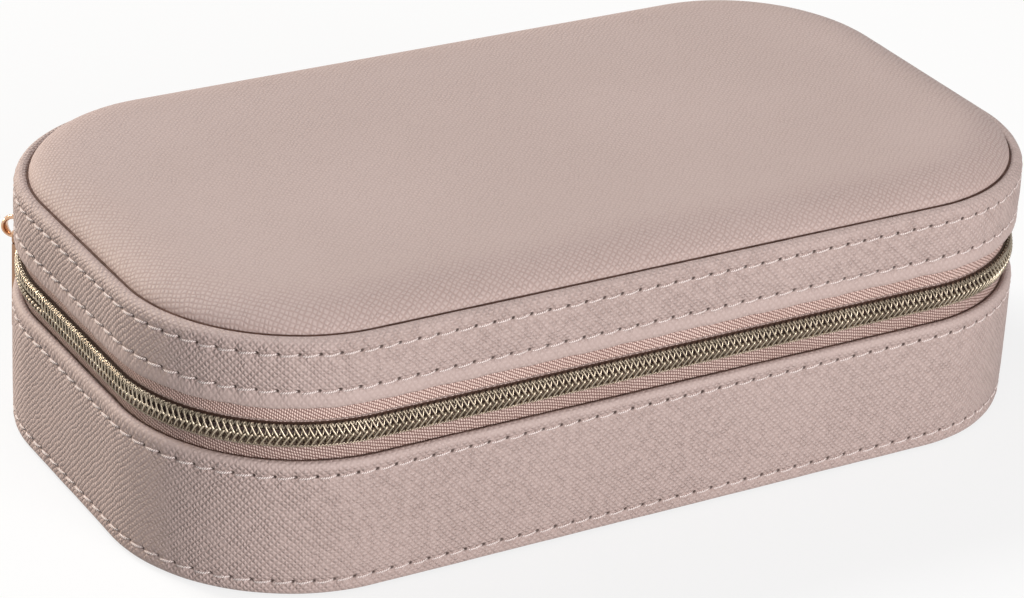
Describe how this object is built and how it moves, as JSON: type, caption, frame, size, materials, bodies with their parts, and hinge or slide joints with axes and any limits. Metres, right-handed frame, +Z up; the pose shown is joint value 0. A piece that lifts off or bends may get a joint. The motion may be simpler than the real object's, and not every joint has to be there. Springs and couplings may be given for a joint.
{
  "type": "zip-around jewelry case",
  "caption": "Rounded zip-around travel jewelry case in embossed leather, with a padded hinged lid, an inner mirror, lined compartments and ring rolls.",
  "frame": {"origin": "centre of the flat bottom face, on the surface it stands on", "axes": "+X along the length, to the right seen from the front; +Y to the back, where the lid is hinged; +Z up"},
  "size_m": [0.2, 0.112, 0.0582],
  "materials": {
    "pink_leather": "cross-grain embossed, satin",
    "stiff_board": "plain greyboard, hidden",
    "foam": "soft foam, hidden",
    "velvet": "soft short pile",
    "zip_tape": "herringbone weave",
    "metal_coil": "metal-coated coil",
    "rose_metal": "polished rose gold",
    "mirror_glass": "clear"
  },
  "bodies": {
    "base": {"base_wall_cover": "pink_leather", "base_bottom_cover": "pink_leather", "hinge_band": "pink_leather", "base_wall_board": "stiff_board", "base_bottom_board": "stiff_board", "collar_board": "stiff_board", "base_wall_spacer": "foam", "ring_roll_base": "foam", "collar_lining": "velvet", "floor_pad": "velvet", "divider_left": "velvet", "divider_right": "velvet", "cross_divider": "velvet", "ring_roll_1": "velvet", "ring_roll_2": "velvet", "ring_roll_3": "velvet", "ring_roll_4": "velvet", "ring_roll_5": "velvet", "ring_roll_6": "velvet", "lower_zip_tape": "zip_tape", "lower_zip_coil": "metal_coil", "lower_top_stop": "rose_metal", "zip_bottom_stop": "rose_metal"},
    "lid": {"lid_wall_cover": "pink_leather", "lid_wall_board": "stiff_board", "lid_wall_lining": "velvet", "lid_top_board": "stiff_board", "lid_top_padding": "foam", "lid_top_cover": "pink_leather", "lid_ceiling_panel": "velvet", "lid_mirror": "mirror_glass", "upper_zip_tape": "zip_tape", "upper_zip_coil": "metal_coil", "upper_top_stop": "rose_metal"},
    "slider": {"zip_slider": "rose_metal"},
    "ring": {"pull_ring": "rose_metal"},
    "tab": {"pull_tab": "rose_metal"}
  },
  "joints": [
    {"name": "lid_hinge", "type": "hinge", "parent": "base", "child": "lid", "pos_m": [0, 0.0575, 0.0336], "axis": [-1, 0, 0], "range_deg": [0, 180], "deforming": ["hinge_band"]},
    {"name": "slider_travel", "type": "hinge", "parent": "base", "child": "slider", "pos_m": [-0.063, 0.019, 0.0336], "axis": [0, 0, 1], "range_deg": [0, 49]},
    {"name": "pull_ring_swing", "type": "hinge", "parent": "slider", "child": "ring", "pos_m": [-0.08957, 0.04957, 0.0336], "axis": [0.7547, 0.6561, 0], "range_deg": [0, 150]},
    {"name": "pull_tab_swing", "type": "hinge", "parent": "ring", "child": "tab", "pos_m": [-0.08918, 0.04911, 0.03159], "axis": [-0.6561, 0.7547, 0], "range_deg": [-30, 75]}
  ]
}
